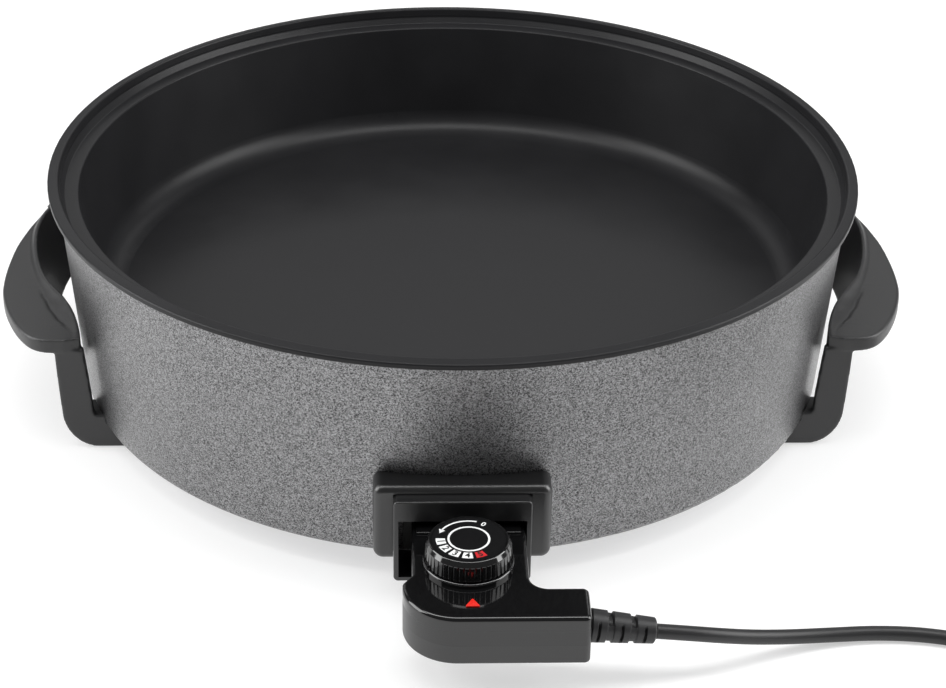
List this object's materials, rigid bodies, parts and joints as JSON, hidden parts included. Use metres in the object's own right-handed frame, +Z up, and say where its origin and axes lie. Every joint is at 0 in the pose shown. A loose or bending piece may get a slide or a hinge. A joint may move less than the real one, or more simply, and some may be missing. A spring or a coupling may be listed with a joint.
{
  "type": "electric skillet",
  "caption": "Deep round electric skillet with stepped rim, side handles that form its legs, and a plug-in thermostat control with dial and supply cord.",
  "frame": {"origin": "on the table under the middle of the object's box, supply cord and mains plug left out", "axes": "+Z up, +X through the right handle, -Y towards the thermostat control at the front"},
  "size_m": [0.5868, 0.5144, 0.1313],
  "materials": {
    "nonstick_coating": "satin dark non-stick coating on cast aluminium",
    "hammer_paint": "grey metallic hammer finish",
    "phenolic": "compression-moulded phenolic, satin",
    "gloss_shell": "polished black thermoplastic",
    "satin_shell": "fine-textured black thermoplastic",
    "zinc_steel": "zinc-plated steel",
    "element_steel": "stainless sheath",
    "nickel": "nickel plate",
    "brass": "bare brass",
    "ceramic": "unglazed steatite",
    "black_rubber": "matt rubber",
    "cord_sheath": "smooth flexible sheath",
    "red_lens": "clear red lens",
    "lamp_glass": "clear glass",
    "dial_print": "black disc printed in white and red"
  },
  "bodies": {
    "pan": {"bowl": "nonstick_coating", "housing": "hammer_paint", "base_plate": "zinc_steel", "rim_gasket": "black_rubber", "base_screws": "zinc_steel", "heating_element": "element_steel", "element_clamps": "zinc_steel", "terminal_block": "ceramic", "terminal_pins": "nickel", "connector_hood": "phenolic", "socket_frame": "phenolic", "hood_screws": "zinc_steel", "handle_right": "phenolic", "handle_left": "phenolic", "handle_screws": "zinc_steel", "foot_pads": "black_rubber"},
    "control": {"control_upper_shell": "gloss_shell", "control_lower_shell": "satin_shell", "shell_screws": "zinc_steel", "thermostat_base": "ceramic", "terminal_clips": "brass", "probe_rod": "element_steel", "switch_blades": "brass", "pilot_lens": "red_lens", "neon_lamp": "lamp_glass", "strain_relief": "black_rubber", "cord_clamp": "satin_shell", "dial_collar": "gloss_shell", "supply_cord": "cord_sheath", "cord_coil": "cord_sheath", "cord_tail": "cord_sheath", "mains_plug": "cord_sheath", "plug_pins": "nickel"},
    "dial": {"dial_knob": "gloss_shell", "dial_plate": "dial_print", "dial_spindle": "brass"}
  },
  "joints": [
    {"name": "control_unplug", "type": "slide", "parent": "pan", "child": "control", "axis": [0, -1, 0], "range_m": [0, 0.11]},
    {"name": "dial_turn", "type": "hinge", "parent": "control", "child": "dial", "pos_m": [0.002, -0.21325, 0.05], "axis": [0, 0, -1], "range_deg": [-211, 30]}
  ]
}
